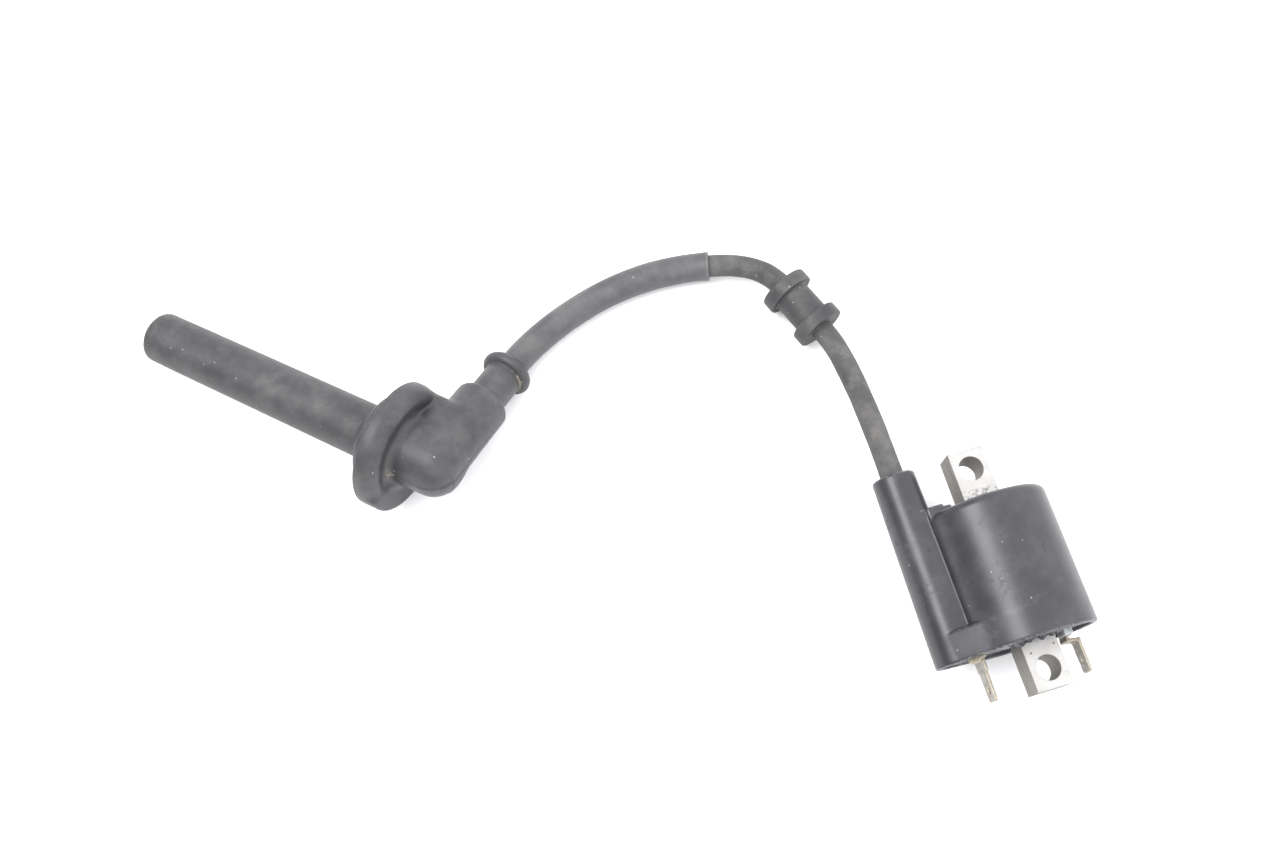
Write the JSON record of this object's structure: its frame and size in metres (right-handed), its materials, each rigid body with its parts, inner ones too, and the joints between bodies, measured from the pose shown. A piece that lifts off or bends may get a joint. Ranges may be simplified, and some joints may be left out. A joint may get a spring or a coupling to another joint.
{
  "type": "ignition coil",
  "caption": "Small-engine ignition coil: potted coil on a laminated core with mounting eyes, high-tension lead with sleeve and frame grommet, and elbowed plug cap with rain disc and long tube.",
  "frame": {"origin": "midway between the two mounting holes, in the middle of the core's thickness", "axes": "+Z along the mounting holes, +Y along the core towards the lead's outlet, +X away from the lead's tower"},
  "size_m": [0.2467, 0.188, 0.0399],
  "materials": {
    "case": "satin gloss black moulding, scuffed",
    "core_steel": "ground laminated steel, bright",
    "epoxy": "glossy black potting resin",
    "bobbin_plastic": "natural glass-filled moulding",
    "enamel_wire": "enamelled copper winding",
    "brass_contact": "bright turned brass",
    "tinned_tab": "tinned brass, coppery at its edges",
    "sealing_compound": "cream sealing compound",
    "solder": "bright tinned solder",
    "lead_rubber": "dusty matt rubber",
    "sleeve_vinyl": "smooth matt vinyl",
    "grommet_rubber": "matt black rubber with dried dirt",
    "cover_rubber": "matt rubber with fine dust",
    "tube_plastic": "smooth matt insulator",
    "spring_wire": "plated spring wire",
    "resistor_ceramic": "off-white ceramic"
  },
  "bodies": {
    "coil": {"case": "case", "core": "core_steel", "potting": "epoxy", "primary_bobbin": "bobbin_plastic", "primary_winding": "enamel_wire", "secondary_bobbin": "bobbin_plastic", "secondary_winding": "enamel_wire", "ht_strap": "brass_contact", "ht_pin": "brass_contact", "earth_terminal": "tinned_tab", "feed_terminal": "tinned_tab", "terminal_seal": "sealing_compound", "terminal_pad": "solder", "primary_wires": "enamel_wire", "ht_lead": "lead_rubber", "vinyl_sleeve": "sleeve_vinyl", "lead_ferrule": "brass_contact"},
    "grommet": {"frame_grommet": "grommet_rubber"},
    "plug_cap": {"cap_cover": "cover_rubber", "cap_tube": "tube_plastic", "contact_block": "brass_contact", "contact_spring": "spring_wire", "resistor": "resistor_ceramic", "plug_terminal": "brass_contact", "terminal_clip": "spring_wire", "plug_seal": "cover_rubber"}
  },
  "joints": [
    {"name": "cap_swivel", "type": "hinge", "parent": "coil", "child": "plug_cap", "pos_m": [-0.1492, 0.0773, 0.0029], "axis": [0.6783, 0.6459, -0.3502], "range_deg": [0, 180]},
    {"name": "grommet_slide", "type": "slide", "parent": "coil", "child": "grommet", "axis": [0.3776, -0.926, 0], "range_m": [0, 0.003]}
  ]
}
